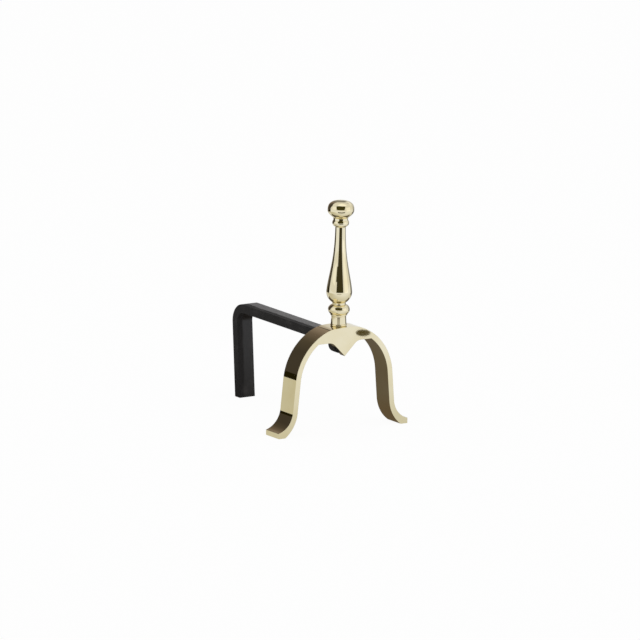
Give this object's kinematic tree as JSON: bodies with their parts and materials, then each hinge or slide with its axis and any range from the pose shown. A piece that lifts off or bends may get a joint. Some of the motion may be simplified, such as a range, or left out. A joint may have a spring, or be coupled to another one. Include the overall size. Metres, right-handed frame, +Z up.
{
  "type": "andiron",
  "caption": "Fireplace andiron with a splayed brass arch and pointed apron, a turned brass column with a round knob, and a flat iron log bar bent down to a rear leg",
  "frame": {"origin": "On the hearth, under the middle of the whole andiron's bounding box", "axes": "+Z is up from the hearth, -Y faces the room and +X runs across the hearth to the right of a person who stands behind the andiron's arch and looks at the fire"},
  "size_m": [0.21, 0.262, 0.3178],
  "materials": {
    "polished_brass": "cast brass, polished bright on the faces that show",
    "turned_brass": "turned brass, mirror polished",
    "black_iron": "flat iron with satin black heat-resistant paint",
    "steel": "plain zinc-coated steel fixings"
  },
  "bodies": {
    "root": {"arch": "polished_brass", "log_bar": "black_iron", "jam_nut": "steel", "tie_rod": "steel", "base_socket": "turned_brass", "ring": "turned_brass", "stem": "turned_brass", "collar": "turned_brass", "knob": "turned_brass", "bar_screw": "steel", "spring_washer": "steel"}
  },
  "joints": []
}
